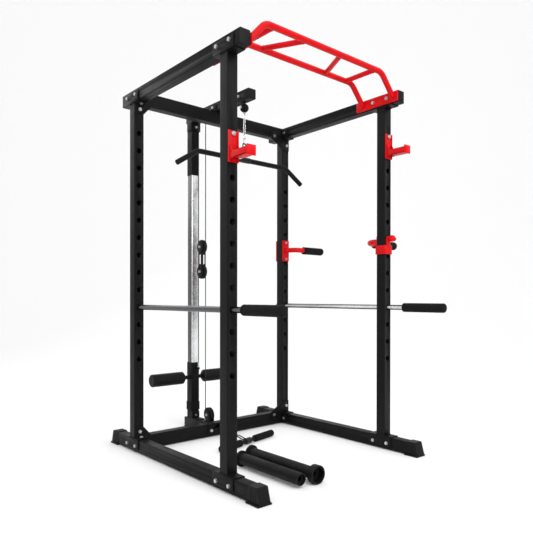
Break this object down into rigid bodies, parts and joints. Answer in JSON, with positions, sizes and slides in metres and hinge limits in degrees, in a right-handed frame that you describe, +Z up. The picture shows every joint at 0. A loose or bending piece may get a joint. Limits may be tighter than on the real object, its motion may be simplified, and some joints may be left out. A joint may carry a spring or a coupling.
{
  "type": "power cage",
  "caption": "Power cage with pull-up bar, lat and low-row tower, safety bars, J-hooks and dip handles.",
  "frame": {"origin": "middle of the bounding box, on the floor", "axes": "+Z up, which is the longest way; +X to the right as seen from the front; +Y to the rear, where the lat tower stands"},
  "size_m": [1.493, 1.67, 2.207],
  "materials": {
    "black_powder_coat": "satin",
    "red_powder_coat": "satin",
    "chrome": "polished",
    "zinc": "satin",
    "black_plastic": "matte",
    "black_rubber": "matte",
    "cable_jacket": "matte"
  },
  "bodies": {
    "cage": {"base_rail_left": "black_powder_coat", "base_rail_right": "black_powder_coat", "cable_fixed_runs": "cable_jacket", "carriage_bumper": "black_rubber", "corner_gussets": "black_powder_coat", "dip_grips": "black_rubber", "dip_handle_front": "red_powder_coat", "dip_handle_rear": "red_powder_coat", "foot_caps": "black_plastic", "frame_bolts": "zinc", "lat_base_beam": "black_powder_coat", "lat_guide": "chrome", "lat_mast": "black_powder_coat", "lat_top_beam": "black_powder_coat", "pulley_axles": "zinc", "pullup_end_plates": "red_powder_coat", "pullup_rungs": "red_powder_coat", "pullup_tubes": "red_powder_coat", "rear_cross_beam_bottom": "black_powder_coat", "rear_cross_beam_top": "black_powder_coat", "small_bolts": "zinc", "top_side_beam_left": "black_powder_coat", "top_side_beam_right": "black_powder_coat", "tower_brackets": "black_powder_coat", "tube_end_caps": "black_plastic", "upright_front_left": "black_powder_coat", "upright_front_right": "black_powder_coat", "upright_rear_left": "black_powder_coat", "upright_rear_right": "black_powder_coat", "upright_saddles": "black_powder_coat"},
    "safety_left": {"safety_bar_left": "chrome", "safety_grip_left": "black_rubber"},
    "safety_right": {"safety_bar_right": "chrome", "safety_grip_right": "black_rubber"},
    "hook_left": {"j_hook_left": "red_powder_coat"},
    "hook_right": {"j_hook_right": "red_powder_coat"},
    "dip_pin": {"dip_lock_pin": "red_powder_coat"},
    "lat_stop": {"lat_ball_stop": "black_rubber", "lat_cable_drop": "cable_jacket"},
    "lat_handle": {"lat_bar": "black_powder_coat", "lat_bar_caps": "black_plastic", "lat_chain": "chrome"},
    "row_handle": {"row_ball_stop": "black_rubber", "row_chain": "chrome", "row_bar": "chrome", "row_bar_grips": "black_rubber", "row_cable_draw": "cable_jacket"},
    "carriage": {"weight_carriage": "black_powder_coat", "carriage_sleeves": "black_plastic"},
    "pulley_block": {"block_plates": "black_powder_coat", "block_bolts": "zinc", "lat_cable_loop": "cable_jacket", "row_cable_loop": "cable_jacket"},
    "top_wheel_front": {"top_pulley_front": "black_plastic"},
    "top_wheel_rear": {"top_pulley_rear": "black_plastic"},
    "low_wheel": {"low_pulley": "black_plastic"},
    "block_wheel_upper": {"block_pulley_upper": "black_plastic"},
    "block_wheel_lower": {"block_pulley_lower": "black_plastic"},
    "adapter_left": {"adapter_sleeve_left": "black_plastic"},
    "adapter_right": {"adapter_sleeve_right": "black_plastic"}
  },
  "joints": [
    {"name": "safety_bar_left_slide", "type": "slide", "parent": "cage", "child": "safety_left", "axis": [0, -1, 0], "range_m": [0, 0.9]},
    {"name": "safety_bar_right_slide", "type": "slide", "parent": "cage", "child": "safety_right", "axis": [0, -1, 0], "range_m": [0, 0.9]},
    {"name": "j_hook_left_pull", "type": "slide", "parent": "cage", "child": "hook_left", "axis": [0, -1, 0], "range_m": [0, 0.075]},
    {"name": "j_hook_right_pull", "type": "slide", "parent": "cage", "child": "hook_right", "axis": [0, -1, 0], "range_m": [0, 0.075]},
    {"name": "dip_pin_pull", "type": "slide", "parent": "cage", "child": "dip_pin", "axis": [0, -1, 0], "range_m": [0, 0.02], "stiffness_N_per_m": 300, "springref_m": -0.02},
    {"name": "carriage_lift", "type": "slide", "parent": "cage", "child": "carriage", "axis": [0, 0, 1], "range_m": [0, 1.1]},
    {"name": "lat_bar_pull", "type": "slide", "parent": "cage", "child": "lat_stop", "axis": [0, 0, -1], "range_m": [0, 1.1], "deforming": ["lat_cable_drop"]},
    {"name": "lat_bar_swing", "type": "hinge", "parent": "lat_stop", "child": "lat_handle", "pos_m": [-0.1235, 0.197, 2.038], "axis": [0, 0, 1], "range_deg": [-30, 30]},
    {"name": "block_lift", "type": "slide", "parent": "cage", "child": "pulley_block", "axis": [0, 0, 1], "range_m": [0, 0.55], "deforming": ["lat_cable_loop", "row_cable_loop"]},
    {"name": "top_pulley_front_spin", "type": "hinge", "parent": "cage", "child": "top_wheel_front", "pos_m": [-0.1235, 0.216, 2.141], "axis": [1, 0, 0], "continuous": true},
    {"name": "top_pulley_rear_spin", "type": "hinge", "parent": "cage", "child": "top_wheel_rear", "pos_m": [-0.1235, 0.5995, 2.141], "axis": [1, 0, 0], "continuous": true},
    {"name": "block_pulley_upper_spin", "type": "hinge", "parent": "pulley_block", "child": "block_wheel_upper", "pos_m": [-0.1235, 0.661, 1.246], "axis": [1, 0, 0], "continuous": true},
    {"name": "block_pulley_lower_spin", "type": "hinge", "parent": "pulley_block", "child": "block_wheel_lower", "pos_m": [-0.1235, 0.661, 1.077], "axis": [1, 0, 0], "continuous": true},
    {"name": "row_bar_pull", "type": "slide", "parent": "cage", "child": "row_handle", "axis": [0, -1, 0], "range_m": [0, 0.2], "deforming": ["row_cable_draw"]},
    {"name": "low_pulley_spin", "type": "hinge", "parent": "cage", "child": "low_wheel", "pos_m": [-0.1235, 0.576, 0.117], "axis": [1, 0, 0], "continuous": true},
    {"name": "adapter_left_lift", "type": "slide", "parent": "cage", "child": "adapter_left", "axis": [0, 0, 1], "range_m": [0, 0.3]},
    {"name": "adapter_right_lift", "type": "slide", "parent": "cage", "child": "adapter_right", "axis": [0, 0, 1], "range_m": [0, 0.3]}
  ],
  "couplings": [
    {"joint": "lat_bar_pull", "follows": "carriage_lift", "ratio": 1},
    {"joint": "block_lift", "follows": "carriage_lift", "ratio": 0.5},
    {"joint": "top_pulley_front_spin", "follows": "carriage_lift", "rad_per_m": 52.632},
    {"joint": "top_pulley_rear_spin", "follows": "carriage_lift", "rad_per_m": 52.632},
    {"joint": "block_pulley_upper_spin", "follows": "carriage_lift", "rad_per_m": -11.765},
    {"joint": "block_pulley_lower_spin", "follows": "carriage_lift", "rad_per_m": 11.765},
    {"joint": "low_pulley_spin", "follows": "row_bar_pull", "rad_per_m": -23.529}
  ]
}
